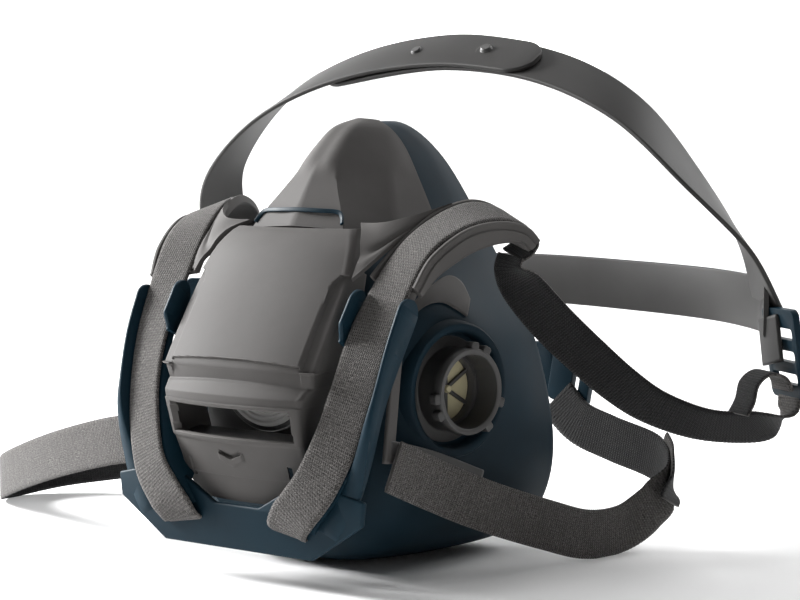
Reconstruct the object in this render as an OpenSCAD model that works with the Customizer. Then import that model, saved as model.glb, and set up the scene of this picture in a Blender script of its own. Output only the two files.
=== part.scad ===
// Half-mask respirator with a drop-down latch, two bayonet ports, an exhalation
// valve under a clip-on cover, a head cradle and a neck strap.
// X is the wearer's left, -Y is the front, Z is up. The mirror plane is X = 0.
// The origin lies under the chin, on the surface that the mask stands on.

/* [Overall] */
// Height of the latch foot over the surface the mask stands on
lift = 12; // [10:0.5:14]
// Segments between two points of a smoothed line
fine = 3; // [2:1:4]

/* [Facepiece] */
// Wall of the silicone facepiece
wall = 3; // [2:0.5:4]
// Width of the turned-in sealing lip
lip = 9; // [6:1:12]

/* [Ports] */
// Inside radius of a bayonet port
port_in_r = 14; // [12:0.5:15]
// Outside radius of a bayonet port
port_out_r = 16; // [15.5:0.5:17]
// Length of a port in front of the ring round its well
port_proud = 8; // [5:1:10]
// Outside radius of the raised ring round each well
well_r = 25.5; // [24:0.5:27]

/* [Straps] */
// Width of the woven straps
strap_w = 18; // [16:0.5:19]
// Width of the neck strap
neck_w = 19.5; // [17:0.5:21]
// Thickness of every strap
strap_t = 1.6; // [1.2:0.2:2]

/* [Cradle] */
// Width of the head cradle's bands
band_w = 22; // [18:1:25]
// Thickness of the bands
band_t = 2; // [1.6:0.2:2.4]

/* [Latch] */
// Radius of the pivot pins
pin_r = 2; // [1.5:0.25:2.5]
// Running clearance of the pins in the latch ears
pin_gap = 0.05; // [0.03:0.01:0.08]

/* [Hidden] */

teal = "#1d3b4c";
grey = "#6f6c6a";
dark = "#3a3b3d";
weave = "#55524f";
cream = "#cfc7a6";

// Where the ports, the exhalation valve and the pivots lie, over the latch foot
port_at = [60, -13.4, 58.9];
port_turn = 11;
valve_at = [0, -52, 66];
pivot = [0, -47, 91];
// The bar round which each strap leaves its arm: middle, then its rise and turn
bar_at = [70.4, 10, 115.4];
bar_rise = -11.7;
bar_turn = -28;

// ---- lines and skins ----
function unit(v) = v / norm(v);
function spline(a, b, c, d, t) = 0.5 * (2 * b + (c - a) * t + (2 * a - 5 * b + 4 * c - d) * t * t
    + (3 * b - a - 3 * c + d) * t * t * t);
function smooth(p, n = fine) = concat([for (i = [0:len(p) - 2]) for (k = [0:n - 1])
    spline(p[max(i - 1, 0)], p[i], p[i + 1], p[min(i + 2, len(p) - 1)], k / n)], [p[len(p) - 1]]);
function loop(p, n = fine) = [for (i = [0:len(p) - 1]) for (k = [0:n - 1])
    spline(p[(i + len(p) - 1) % len(p)], p[i], p[(i + 1) % len(p)], p[(i + 2) % len(p)], k / n)];
function part3(p, i = 0) = [p[i], p[i + 1], p[i + 2]];
function flip_x(p) = [-p[0], p[1], p[2]];
function middle(ring) = [for (k = [0:2]) [for (p = ring) p[k]] * [for (p = ring) 1] / len(ring)];

// A closed skin over rings of the same length; the ends are fans, or flat faces
module skin(rings, flat_ends = false) {
    m = len(rings[0]);
    n = len(rings);
    points = concat([for (r = rings) for (p = r) p], [middle(rings[0]), middle(rings[n - 1])]);
    sides = [for (i = [0:n - 2]) for (k = [0:m - 1]) let (j = (k + 1) % m)
        each [[i * m + k, (i + 1) * m + k, (i + 1) * m + j], [i * m + k, (i + 1) * m + j, i * m + j]]];
    first = flat_ends ? [[for (k = [0:m - 1]) k]] : [for (k = [0:m - 1]) [n * m, k, (k + 1) % m]];
    last = flat_ends ? [[for (k = [m - 1:-1:0]) (n - 1) * m + k]]
        : [for (k = [0:m - 1]) [n * m + 1, (n - 1) * m + (k + 1) % m, (n - 1) * m + k]];
    polyhedron(flat_ends ? [for (r = rings) for (p = r) p] : points, concat(sides, first, last));
}

// Frames along a band: each row holds a centre and the direction of the width
function along(q, i) = unit(part3(q[min(i + 1, len(q) - 1)]) - part3(q[max(i - 1, 0)]));
function inward(q, i) = unit(cross(along(q, i), part3(q[i], 3)));
function across(q, i) = unit(cross(inward(q, i), along(q, i)));
function moved(q, side, depth) = [for (i = [0:len(q) - 1])
    concat(part3(q[i]) + across(q, i) * side + inward(q, i) * depth, part3(q[i], 3))];

module band(q, width, thick) {
    skin([for (i = [0:len(q) - 1]) let (c = part3(q[i]), w = across(q, i) * width / 2,
        d = inward(q, i) * thick / 2) [c + w + d, c - w + d, c - w - d, c + w - d]]);
}

// A channel along a band: floor below the line, walls standing up beside it, and
// the outer wall reaching in past the floor by the seventh number of each row
module channel(q, width, drop, wall_h, thick) {
    skin([for (i = [0:len(q) - 1]) let (base = drop + thick, skirt = base + q[i][6],
        profile = [[1, skirt], [1, skirt, 1], [1, base, 1], [-1, base], [-1, -wall_h],
            [-1, -wall_h, 1], [-1, drop, 1], [1, drop, 1], [1, -wall_h, 1], [1, -wall_h]])
        [for (c = profile) part3(q[i]) + inward(q, i) * c[1]
            + across(q, i) * c[0] * (width / 2 - (len(c) > 2 ? thick : 0))]], true);
}

// A sheet over a grid of points, backed along one direction and drawn in towards X = 0
module sheet(grid, back, draw_in = 0) {
    skin([for (row = grid) concat([for (p = row) p + back - [p[0] * draw_in, 0, 0]],
        [for (i = [len(row) - 1:-1:0]) row[i]])]);
}
function across_mirror(row) = concat([for (i = [0:len(row) - 1]) row[i]],
    [for (i = [len(row) - 2:-1:0]) flip_x(row[i])]);
function grid_of(rows) = [for (r = smooth(rows, 2)) smooth(r, 2)];

module side(s) {
    if (s > 0) children();
    else mirror([1, 0, 0]) children();
}
module stand() {
    translate([0, 0, lift]) children();
}
module at_port() {
    translate(port_at) rotate([0, 90, -port_turn]) children();
}

// ---- facepiece ----
// Half outlines from the top of the nose to the chin, front to rear
front_ring = [[0, -34, 112], [13, -35, 110], [27, -38, 102], [39, -42, 84], [43, -44, 50],
    [38, -43, 16], [22, -40, 0], [0, -38, -5]];
cheek_ring = [[0, -16, 138], [14, -19, 124], [35, -25, 106], [53, -30, 82], [57.5, -32, 46],
    [51, -31, 12], [30, -28, -6], [0, -26, -10.5]];
port_ring = [[0, 3, 157.5], [18.5, 2, 145], [40, 0, 107], [59, -6, 80], [62, -8, 42],
    [56, -4, 8], [33, -2, -9], [0, 0, -12]];
jaw_ring = [[0, 16, 161], [22, 20, 148], [42, 26, 107], [60, 24, 75], [65.5, 25, 36],
    [59, 24, 5], [38, 24, -9], [0, 24, -12]];
rim_ring = [[0, 27, 161.5], [21, 33, 147], [41, 45, 105], [57, 47, 73], [64, 50, 32],
    [58, 48, 5], [40, 42, -8], [0, 37, -11.5]];

function whole(half) = loop(concat(half, [for (i = [len(half) - 2:-1:1]) flip_x(half[i])]));
function inset(ring, d, back = 0) = let (c = middle(ring)) [for (p = ring)
    let (v = [c[0] - p[0], 0, c[2] - p[2]]) p + v * min(1, d / norm(v)) + [0, back, 0]];

module facepiece_skin() {
    outer = smooth([whole(front_ring), whole(cheek_ring), whole(port_ring), whole(jaw_ring),
        whole(rim_ring)], 2);
    skin(concat(outer,
        [inset(whole(rim_ring), lip, 1.5), inset(whole(rim_ring), lip, -1),
        inset(whole(jaw_ring), wall, 2), inset(whole(port_ring), wall),
        inset(whole(cheek_ring), wall, 2), inset(whole(front_ring), wall + 2, wall)]));
}
module facepiece() {
    ring_depth = 5;
    ring_wall = 3;
    color(teal) stand() difference() {
        union() {
            facepiece_skin();
            for (s = [1, -1]) side(s) at_port() translate([0, 0, -ring_depth])
                difference() {
                    cylinder(r = well_r, h = ring_depth + 1, $fn = 48);
                    translate([0, 0, -1]) cylinder(r = well_r - ring_wall, h = ring_depth + 3, $fn = 48);
                }
        }
        for (s = [1, -1]) side(s) at_port()
            translate([0, 0, -20]) cylinder(r = port_out_r + 1, h = 40, $fn = 48);
        translate(valve_at) rotate([90, 0, 0]) translate([0, 0, -30]) cylinder(r = 15, h = 40, $fn = 48);
    }
}

// A conforming plate of the hard core that shows behind each arm
module side_fin() {
    rows = [[[49.9, -33.2, 86.1], [50.1, -34.7, 83.1], [50.2, -35.8, 80.1]],
        [[49, -25.4, 92.9], [50.2, -28.1, 90], [51.1, -30.4, 87.1]],
        [[47, -11.9, 98.1], [49.4, -16.3, 94.8], [51.5, -20.4, 91.5]],
        [[45.6, 1.5, 101.2], [49, -5, 96.6], [52.3, -11.4, 92.1]],
        [[48, 7.2, 98.6], [51.5, 0.3, 94], [54.8, -6.3, 89.5]],
        [[53, 6, 92.1], [55.4, 1.6, 89.2], [57.1, -2, 86.3]]];
    color(grey) stand() sheet(grid_of(rows), [-1, 0, -0.4]);
}

// ---- yoke: nose shell, arms and side rails in one moulding ----
nose_rows = [
    [[38, 7, 117], [33.5, -14, 118], [22, -35, 120], [0, -38.8, 121]],
    [[33.5, 8, 125.5], [29.5, -11.5, 126.5], [18, -31, 127.5], [0, -34.2, 128.4]],
    [[27.5, 8.5, 137], [24, -6, 139], [10.4, -23.6, 140], [0, -25.6, 140.6]],
    [[20.5, 8.5, 150], [18.4, 0, 150.5], [7.6, -14.2, 151], [0, -15.6, 151.4]],
    [[14, 8.5, 157.4], [12, 3.4, 158], [5.6, -5, 158.8], [0, -5.8, 159]],
    [[6.4, 9.5, 161.6], [5, 7.6, 162], [2.6, 5.6, 162.3], [0, 5, 162.5]]];
// Centre of the arm's channel, with the direction of its width
arm_rows = [[54.2, -47, 101.5, 1, 0, -0.03, 0.5], [57, -38, 112, 0.96, -0.22, -0.1, 3],
    [62, -22, 122.5, 0.9, -0.33, -0.25, 6], [67, -6, 126.5, 0.86, -0.36, -0.36, 5],
    [71, 7, 124, 0.85, -0.4, -0.3, 3], [73, 14, 117.5, 0.85, -0.45, -0.2, 1]];
// From the ridge down to the cover's side, nose first, arm last
shoulder_rows = [
    [[27.5, -31, 122.3], [33.4, -38.5, 118.4], [37.6, -46, 110], [38.8, -51.5, 102.5]],
    [[39.1, -31, 122.8], [41.2, -36.5, 117.6], [41.6, -42.5, 112], [42.2, -47, 107]],
    [[49, -22.5, 126], [47.9, -27, 122.6], [47, -32, 118.6], [46.2, -37, 114.6]],
    [[55.5, -10.5, 129.8], [54.2, -13, 128.9], [52.8, -15.6, 127.6], [51.4, -18.2, 126]]];
// Height of an arm's walls over the middle of the strap
arm_wall = 0.6;
rail_rows = [[58.5, -55.6, 36, 0, 1, 0.1], [58.6, -53.6, 52, 0, 1, 0.15], [59, -51, 74, 0, 1, 0.2],
    [59.2, -47.6, 88, 0, 1, 0.35], [60, -41, 99, 0, 1, 0.6], [63.6, -32, 108, 0, 1, 0.8]];
hanger_rows = [[58.4, -56, 42, 0, 0, 1], [62, -32, 35, 0, 0, 1], [66, -6, 25, 0, 0, 1]];

module nose_shell() {
    color(grey) stand()
        sheet([for (r = smooth(nose_rows, 2)) smooth(across_mirror(r), 2)], [0, 2, -1.2], 0.05);
}
module yoke_arm() {
    color(grey) stand() channel(smooth(arm_rows), strap_w + 5, 1.6, arm_wall, 2);
}
module yoke_shoulder() {
    color(grey) stand() sheet(grid_of(shoulder_rows), [-0.4, 1.2, -1.4]);
}
module side_rail() {
    color(grey) stand() difference() {
        band(smooth(rail_rows), 5.6, 2);
        translate([50, pivot[1], pivot[2]]) rotate([0, 90, 0]) cylinder(r = pin_r, h = 20, $fn = 48);
    }
}
module strap_hanger() {
    color(grey) stand() band(smooth(hanger_rows), 6, 2);
}
module strap_bar() {
    color(grey) stand() translate(bar_at) rotate([0, 90 - bar_rise, bar_turn])
        cylinder(r = 1.6, h = 20, center = true, $fn = 24);
}

// ---- exhalation valve and its cover ----
module valve_housing() {
    depth = 5.5;
    color(dark) stand() translate([0, -46.3, 0]) rotate([90, 0, 0]) linear_extrude(depth) difference() {
        offset(r = 5, $fn = 24) translate([-26, 34]) square([52, 57]);
        translate([0, valve_at[2]]) circle(r = 20, $fn = 64);
    }
}
module exhalation_valve_seat() {
    color(dark) stand() translate(valve_at) rotate([90, 0, 0]) rotate_extrude($fn = 64)
        polygon([[15, -5], [19.8, -5], [19.8, 0.2], [23, 0.2], [23, 2.4], [18, 2.4], [15, 1]]);
}
module exhalation_valve_flap() {
    color("white") stand() translate(valve_at + [0, -2.6, 0]) rotate([90, 0, 0]) {
        cylinder(r = 21, h = 1, $fn = 64);
        for (k = [1:3]) translate([0, 0, 0.9]) difference() {
            cylinder(r = 5 * k + 1, h = 0.8, $fn = 48);
            translate([0, 0, -1]) cylinder(r = 5 * k, h = 3, $fn = 48);
        }
    }
}

// Half outline of the cover from side to middle, top row first
cover_rows = [
    [[25, -31, 119.6], [29, -38, 119.6], [15, -40, 119.8], [0, -41, 120]],
    [[32, -36, 110], [34, -45.5, 111], [17, -48, 112], [0, -49, 112]],
    [[36.4, -44, 94], [37.2, -56.5, 94], [19, -60.5, 94], [0, -61.5, 94]],
    [[36.4, -56, 74], [37.2, -70.5, 74], [19, -75, 74], [0, -76, 74]],
    [[36.2, -58, 68.4], [37, -73.6, 68.4], [19, -77.8, 68.4], [0, -79, 68.4]],
    [[34.6, -58, 63], [35.2, -73.4, 63], [18, -77.6, 63], [0, -78.8, 63]],
    [[32, -58, 56], [32.8, -76, 56], [17, -79.4, 56], [0, -80.4, 56]],
    [[31, -58, 42], [32, -72.6, 42], [17, -77, 42], [0, -78, 42]],
    [[30.5, -56, 33], [31.2, -68.6, 33], [16, -72.4, 33], [0, -73.4, 33]],
    [[30, -56, 26], [30.6, -66.4, 26], [15.5, -69.6, 25], [0, -70.4, 24.6]],
    [[27, -56, 20], [27.6, -65.2, 20], [14, -68, 18], [0, -68.6, 17]]];
module valve_cover() {
    opening = [[-28.6, 43], [28.6, 43], [29.4, 55], [-29.4, 55]];
    color(grey) stand() difference() {
        union() {
            sheet([for (r = cover_rows) smooth(across_mirror(r), 2)], [0, 2.2, 0], 0.06);
            // the chevron boss under the opening
            translate([0, -71.6, 35]) rotate([90, 0, 0]) linear_extrude(3)
                polygon([[-5, 2], [0, -1], [5, 2], [5, 0], [0, -3], [-5, 0]]);
        }
        translate([0, -50, 0]) rotate([90, 0, 0]) linear_extrude(40) polygon(opening);
        for (s = [-1, 1]) translate([s * 24.4 - 1, -80, 25.5]) cube([2, 20, 8]);
    }
}

// ---- inhalation ports ----
port_back = -7;
seat_r = 12.6;
stem_r = 1.6;
module bayonet() {
    spoke = 1.6;
    color(dark) stand() at_port() {
        rotate_extrude($fn = 64) polygon([[seat_r, port_back], [20, port_back], [20, -5.2],
            [port_out_r, -5.2], [port_out_r, port_proud], [port_in_r, port_proud], [port_in_r, -3],
            [seat_r, -3]]);
        for (a = [35, 72, 150, 172, 275, 297]) rotate([0, 0, a])
            translate([port_out_r - 0.6, -1.8, port_proud - 4]) cube([3.2, 3.6, 3.4]);
        translate([0, 0, port_back]) difference() {
            union() {
                cylinder(r = 2 * stem_r, h = spoke, $fn = 32);
                for (a = [0, 90]) rotate([0, 0, a]) translate([-seat_r - 0.4, -spoke / 2, 0])
                    cube([2 * seat_r + 0.8, spoke, spoke]);
            }
            translate([0, 0, -1]) cylinder(r = stem_r + pin_gap, h = spoke + 2, $fn = 32);
        }
    }
}
// The flap closes on the face side of its seat, held by a stem through the hub
module inhalation_valve() {
    color(cream) stand() at_port() translate([0, 0, port_back - 0.1]) {
        translate([0, 0, -0.9]) cylinder(r = port_in_r + 0.8, h = 0.9, $fn = 48);
        cylinder(r = stem_r, h = 3, $fn = 32);
    }
}

// ---- latch and front straps ----
// Centre line of the front strap from its slot up the channel to the arm
strap_rows = [[25.5, -73, 9.5, 0.98, 0, -0.16], [33.5, -75.6, 20, 0.87, 0.05, -0.5],
    [41, -74.8, 30, 0.9, 0.1, -0.42], [47.3, -71, 46, 0.95, 0.14, -0.26],
    [50.8, -66.5, 62, 0.97, 0.16, -0.16], [52.5, -60.5, 78, 0.98, 0.12, -0.08],
    [53.5, -53.5, 91, 1, 0.03, -0.04]];
wall_rows = [[53, -72, 20, 0.95, 0.2, 0], [56.6, -71, 32, 0.9, 0.4, 0.05], [60, -68, 48, 0.7, 0.7, 0.1],
    [62.8, -63.6, 64, 0.25, 0.97, 0.15], [64.2, -58, 79, 0, 1, 0.25], [64.6, -53, 91, 0, 1, 0.35]];
inner_rows = [[40.9, -61.4, 70, 0, 1, 0.2], [41.4, -59.2, 79, 0, 1, 0.25], [41.8, -57, 88, 0, 1, 0.3]];
module latch_side() {
    band(moved(smooth(strap_rows), 1.5, 2.4), 24, 2);
    band(smooth(wall_rows), 11, 2.2);
    band(smooth(inner_rows), 6, 2);
    translate([62.2, pivot[1], pivot[2]]) rotate([0, 90, 0]) cylinder(r = 6, h = 3.4, $fn = 48);
}
module latch() {
    foot = [[-36, 0], [36, 0], [59, 15], [60, 24], [34, 30], [20.5, 22.6], [11, 17], [-11, 17],
        [-20.5, 22.6], [-34, 30], [-60, 24], [-59, 15]];
    color(teal) stand() difference() {
        union() {
            translate([0, -70, 0]) rotate([90, 0, 0]) linear_extrude(2.6) polygon(foot);
            for (s = [1, -1]) side(s) latch_side();
        }
        for (s = [1, -1]) side(s) {
            translate([55, pivot[1], pivot[2]]) rotate([0, 90, 0])
                cylinder(r = pin_r + pin_gap, h = 16, $fn = 48);
            translate([0, -78, 0]) rotate([90, 0, 0]) translate([0, 0, -12])
                linear_extrude(12) polygon([[32, 30], [20.5, 22.6], [0, 17.6], [0, 60], [34, 60], [34, 40]]);
        }
    }
}
module latch_pin() {
    color(dark) stand() translate([57.5, pivot[1], pivot[2]]) rotate([0, 90, 0])
        cylinder(r = pin_r, h = 9, $fn = 48);
}
module front_strap_lower() {
    color(weave) stand() band(smooth(strap_rows), strap_w, strap_t);
}
module front_strap_upper() {
    color(weave) stand() band(smooth(concat([[53.8, -49.3, 98.2, 1, 0.02, -0.04, 0]],
        [for (i = [0:len(arm_rows) - 2]) arm_rows[i]])), strap_w, strap_t);
}

// ---- head cradle, buckles and rear straps ----
crown_half = [[137, 92, 88, -0.8, 0.6, 0.05], [133.5, 77, 112, -0.6, 0.78, 0.15],
    [118, 62, 138, -0.28, 0.9, 0.3], [88, 62, 166, -0.12, 0.88, 0.45],
    [48, 66, 183, -0.04, 0.83, 0.55], [0, 68, 189, 0, 0.8, 0.6]];
back_half = [[141, 84, 87, 0, 0, 1], [131, 98, 88, 0, 0, 1], [98, 121, 89, 0, 0, 1],
    [50, 135, 90, 0, 0, 1], [0, 139, 91, 0, 0, 1]];
// The tab of the back band that holds each buckle
tab_rows = [[141.5, 85, 84, 0.81, -0.59, 0], [145, 82.5, 66, 0.81, -0.59, 0]];
function row_flip(q) = [-q[0], q[1], q[2], -q[3], q[4], q[5]];
// one crown arm from its junction over the top to its end beyond the middle
function crown(reach, depth) = moved(smooth(concat(crown_half, reach)), 0, depth);
upper_reach = [[-46, 66, 183.6, 0.04, 0.83, 0.55]];
lower_reach = [[-50, 66, 182.6, 0.04, 0.83, 0.55], [-61, 65.4, 179, 0.06, 0.84, 0.52]];

module head_cradle() {
    back = concat(back_half, [for (i = [len(back_half) - 2:-1:0]) row_flip(back_half[i])]);
    color(grey) stand() {
        band(smooth(back), band_w, band_t);
        band(crown(lower_reach, -1.15), band_w, band_t);
        mirror([1, 0, 0]) band(crown(upper_reach, 1.15), band_w, band_t);
        for (s = [1, -1]) side(s) band(tab_rows, 15, band_t);
    }
}
module crown_studs() {
    color(dark) stand() for (x = [-15, 20]) translate([x, 68, 188.4]) rotate([37, 0, 0])
        rotate([0, x * 0.32, 0]) translate([0, 0, 3]) rotate_extrude($fn = 32)
            polygon([[0, 0], [5.4, 0], [5.4, 0.9], [3.2, 1.2], [2.6, 2.2], [0, 2.2]]);
}
module buckle() {
    width = 25;
    height = 36;
    color(teal) stand() translate([148.4, 83.4, 70]) rotate([0, 0, -36]) rotate([9, 0, 0])
        rotate([90, 0, 0]) translate([0, 0, -2.8]) linear_extrude(2.8) difference() {
            offset(r = 2, $fn = 16) square([width - 4, height - 4], center = true);
            for (z = [-12, -3, 6]) translate([-9.5, z]) square([19, 4.5]);
        }
}
rear_rows = [[69.6, 9, 109.5, 0.85, -0.45, -0.2], [69, 8.6, 104, 0.84, -0.3, 0.1],
    [72.5, 14, 96, 0.76, 0.1, 0.45], [79, 24, 83, 0.68, 0.2, 0.62], [87.2, 35.5, 70, 0.66, 0.12, 0.68],
    [96.5, 47, 57.5, 0.66, -0.02, 0.68], [105.8, 58, 48.2, 0.66, -0.16, 0.68],
    [120.7, 69, 41.6, 0.64, -0.3, 0.69], [135.7, 78, 40.4, 0.6, -0.36, 0.72],
    [148.5, 82, 45.5, 0.56, -0.36, 0.75]];
// The free end loops back from the buckle, edge on to the front
tail_rows = [[149, 83.6, 56, 0.81, -0.59, 0], [147.4, 81.6, 61, 0.81, -0.59, 0],
    [143.4, 76.2, 62.8, 0.81, -0.59, 0], [140.2, 71.8, 59, 0.81, -0.59, 0],
    [139, 70.4, 52, 0.81, -0.59, 0], [137.4, 68, 47, 0.81, -0.59, 0]];
module rear_strap() {
    color(weave) stand() band(smooth(rear_rows), strap_w, strap_t);
}
module strap_tail() {
    color(weave) stand() band(smooth(tail_rows), strap_w - 2, strap_t);
}

// ---- neck strap and clasp ----
neck_left_rows = [[61.6, -56.6, 35.4, 0, 0, 1], [66.5, -34, 25, 0, 0, 1], [74, -13, 15.5, 0, 0, 1],
    [82, 16, 5, 0, 0, 1], [87.2, 38, -1.6, 0, 0, 1], [92, 58, -1.6, 0, 0, 1], [97.4, 72, 5.6, 0, 0, 1],
    [99, 82, 14, 0, 0, 1], [88, 92, 22, 0, 0, 1], [64.3, 97, 27.4, 0, 0, 1], [46.7, 98.4, 33, 0, 0, 1],
    [36, 98.6, 43, 0, 0, 1]];
neck_right_rows = [[-61.6, -56.6, 35.4, 0, 0, 1], [-86, -53, 31, 0, 0, 1], [-125, -43, 21, 0, 0, 1],
    [-165, -28, 9, 0, 0, 1], [-193, -12, 0, 0, 0, 1], [-201, 6, -2.2, 0, 0, 1], [-190, 26, 1, 0, 0, 1],
    [-155, 50, 7, 0, 0, 1], [-105, 78, 19, 0, 0, 1], [-50, 94, 37, 0, 0, 1], [8, 98.6, 52, 0, 0, 1]];
module neck_strap_left() {
    color(weave) stand() band(smooth(neck_left_rows), neck_w, strap_t);
}
module neck_strap_right() {
    color(weave) stand() band(smooth(neck_right_rows), neck_w, strap_t);
}
module clasp_half(length) {
    linear_extrude(4) difference() {
        offset(r = 3, $fn = 16) square([length - 6, neck_w - 2], center = true);
        translate([length / 2 - 7, 0]) square([3.5, neck_w - 2], center = true);
    }
}
module clasp_hook() {
    color(teal) stand() translate([42, 103, 52]) rotate([90, 10, 0]) clasp_half(20);
}
module clasp_socket() {
    color(teal) stand() translate([20.5, 103, 54]) rotate([90, 2, 180]) clasp_half(21);
}

facepiece();
nose_shell();
side(1) yoke_arm();  // yoke_arm_left
side(-1) yoke_arm();  // yoke_arm_right
side(1) yoke_shoulder();  // yoke_shoulder_left
side(-1) yoke_shoulder();  // yoke_shoulder_right
side(1) side_rail();  // side_rail_left
side(-1) side_rail();  // side_rail_right
side(1) strap_hanger();  // strap_hanger_left
side(-1) strap_hanger();  // strap_hanger_right
valve_housing();
exhalation_valve_seat();
exhalation_valve_flap();
valve_cover();
side(1) bayonet();  // bayonet_left
side(-1) bayonet();  // bayonet_right
side(1) inhalation_valve();  // inhalation_valve_left
side(-1) inhalation_valve();  // inhalation_valve_right
side(1) side_fin();  // side_fin_left
side(-1) side_fin();  // side_fin_right
latch();
side(1) latch_pin();  // latch_pin_left
side(-1) latch_pin();  // latch_pin_right
side(1) front_strap_lower();  // front_strap_lower_left
side(-1) front_strap_lower();  // front_strap_lower_right
side(1) front_strap_upper();  // front_strap_upper_left
side(-1) front_strap_upper();  // front_strap_upper_right
side(1) strap_bar();  // strap_bar_left
side(-1) strap_bar();  // strap_bar_right
head_cradle();
crown_studs();
side(1) buckle();  // buckle_left
side(-1) buckle();  // buckle_right
side(1) rear_strap();  // rear_strap_left
side(-1) rear_strap();  // rear_strap_right
side(1) strap_tail();  // strap_tail_left
side(-1) strap_tail();  // strap_tail_right
neck_strap_left();
neck_strap_right();
clasp_hook();
clasp_socket();
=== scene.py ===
import math

import bmesh
import bpy
from mathutils import Matrix, Vector, noise

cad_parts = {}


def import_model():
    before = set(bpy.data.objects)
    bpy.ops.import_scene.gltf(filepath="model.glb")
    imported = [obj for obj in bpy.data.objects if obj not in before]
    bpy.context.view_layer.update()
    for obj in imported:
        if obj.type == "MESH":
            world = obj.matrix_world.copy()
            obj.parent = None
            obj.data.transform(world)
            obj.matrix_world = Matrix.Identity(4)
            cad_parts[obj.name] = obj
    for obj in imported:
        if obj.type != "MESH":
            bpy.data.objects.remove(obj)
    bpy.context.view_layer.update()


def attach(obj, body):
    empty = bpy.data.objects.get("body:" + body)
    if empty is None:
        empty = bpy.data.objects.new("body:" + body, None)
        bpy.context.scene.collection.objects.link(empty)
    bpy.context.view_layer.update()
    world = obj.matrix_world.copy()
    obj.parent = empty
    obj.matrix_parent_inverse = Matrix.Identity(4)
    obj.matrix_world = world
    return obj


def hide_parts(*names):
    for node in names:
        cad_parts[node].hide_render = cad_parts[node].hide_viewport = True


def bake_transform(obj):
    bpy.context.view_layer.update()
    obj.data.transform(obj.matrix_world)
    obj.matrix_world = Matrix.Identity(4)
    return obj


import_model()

MM = 0.001

# The latch foot stands this far over the surface (mm); every place below is
# given in mm over the latch foot, with X = 0 the mirror plane and -Y the front.
LIFT = 12.0
STRAP_W = 18.0
NECK_W = 19.5
STRAP_T = 1.5
BAND_W = 22.0
BAND_T = 2.0
PORT = Vector((60.0, -13.4, 58.9))
PORT_TURN = math.radians(11)
VALVE_Z = 66.0
PIVOT = Vector((0, -47, 91))


def world(p):
    """A place over the latch foot, in mm, as metres in the frame."""
    return Vector((p[0], p[1], p[2] + LIFT)) * MM


def lerp(a, b, t):
    return a + (b - a) * t


def smoothstep(a, b, x):
    t = min(1.0, max(0.0, (x - a) / (b - a)))
    return t * t * (3 - 2 * t)


# ------------------------------------------------------------------ materials
def new_material(name, rough=0.5, sheen=0.0, specular=0.5, coat=0.0):
    mat = bpy.data.materials.new(name)
    mat.use_nodes = True
    tree = mat.node_tree
    shader = tree.nodes["Principled BSDF"]
    shader.inputs["Roughness"].default_value = rough
    shader.inputs["Sheen Weight"].default_value = sheen
    shader.inputs["Specular IOR Level"].default_value = specular
    shader.inputs["Coat Weight"].default_value = coat
    return mat, tree, shader


def node(tree, kind, **sockets):
    made = tree.nodes.new(kind)
    for key, value in sockets.items():
        made.inputs[key.replace("_", " ")].default_value = value
    return made


def mixed_colour(tree, shader, factor, low, high):
    """Blend two colours by a factor socket into the shader's base colour."""
    mix = tree.nodes.new("ShaderNodeMix")
    mix.data_type = "RGBA"
    mix.inputs["A"].default_value = (*low, 1)
    mix.inputs["B"].default_value = (*high, 1)
    tree.links.new(factor, mix.inputs["Factor"])
    tree.links.new(mix.outputs["Result"], shader.inputs["Base Color"])
    return mix


def ramp(tree, source, low, high):
    made = tree.nodes.new("ShaderNodeMapRange")
    made.inputs["From Min"].default_value = low
    made.inputs["From Max"].default_value = high
    tree.links.new(source, made.inputs["Value"])
    return made.outputs["Result"]


def bump_from(tree, shader, height, strength, distance):
    made = tree.nodes.new("ShaderNodeBump")
    made.inputs["Strength"].default_value = strength
    made.inputs["Distance"].default_value = distance
    tree.links.new(height, made.inputs["Height"])
    tree.links.new(made.outputs["Normal"], shader.inputs["Normal"])
    return made


def moulded(name, low, high, rough, grain=1500.0, grain_depth=0.00003, specular=0.4, coat=0.0, scuff=0.0):
    """Moulded plastic or silicone: cloudy tone, fine grain, rubbed edges."""
    mat, tree, shader = new_material(name, rough, 0.0, specular, coat)
    place = tree.nodes.new("ShaderNodeTexCoord").outputs["Object"]
    cloud = node(tree, "ShaderNodeTexNoise", Scale=38.0, Detail=4.0, Roughness=0.6)
    fine = node(tree, "ShaderNodeTexNoise", Scale=grain, Detail=2.0, Roughness=0.5)
    for made in (cloud, fine):
        tree.links.new(place, made.inputs["Vector"])
    tone = ramp(tree, cloud.outputs["Fac"], 0.3, 0.7)
    mix = mixed_colour(tree, shader, tone, low, high)
    if scuff:
        edge = tree.nodes.new("ShaderNodeNewGeometry").outputs["Pointiness"]
        worn = ramp(tree, edge, 0.53, 0.62)
        lighter = tree.nodes.new("ShaderNodeMix")
        lighter.data_type = "RGBA"
        lighter.inputs["B"].default_value = (*[min(1, c * (1 + scuff)) for c in high], 1)
        tree.links.new(worn, lighter.inputs["Factor"])
        tree.links.new(mix.outputs["Result"], lighter.inputs["A"])
        tree.links.new(lighter.outputs["Result"], shader.inputs["Base Color"])
    rough_map = tree.nodes.new("ShaderNodeMapRange")
    rough_map.inputs["To Min"].default_value = rough - 0.05
    rough_map.inputs["To Max"].default_value = rough + 0.07
    tree.links.new(cloud.outputs["Fac"], rough_map.inputs["Value"])
    tree.links.new(rough_map.outputs["Result"], shader.inputs["Roughness"])
    bump_from(tree, shader, fine.outputs["Fac"], 0.5, grain_depth)
    return mat


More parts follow.
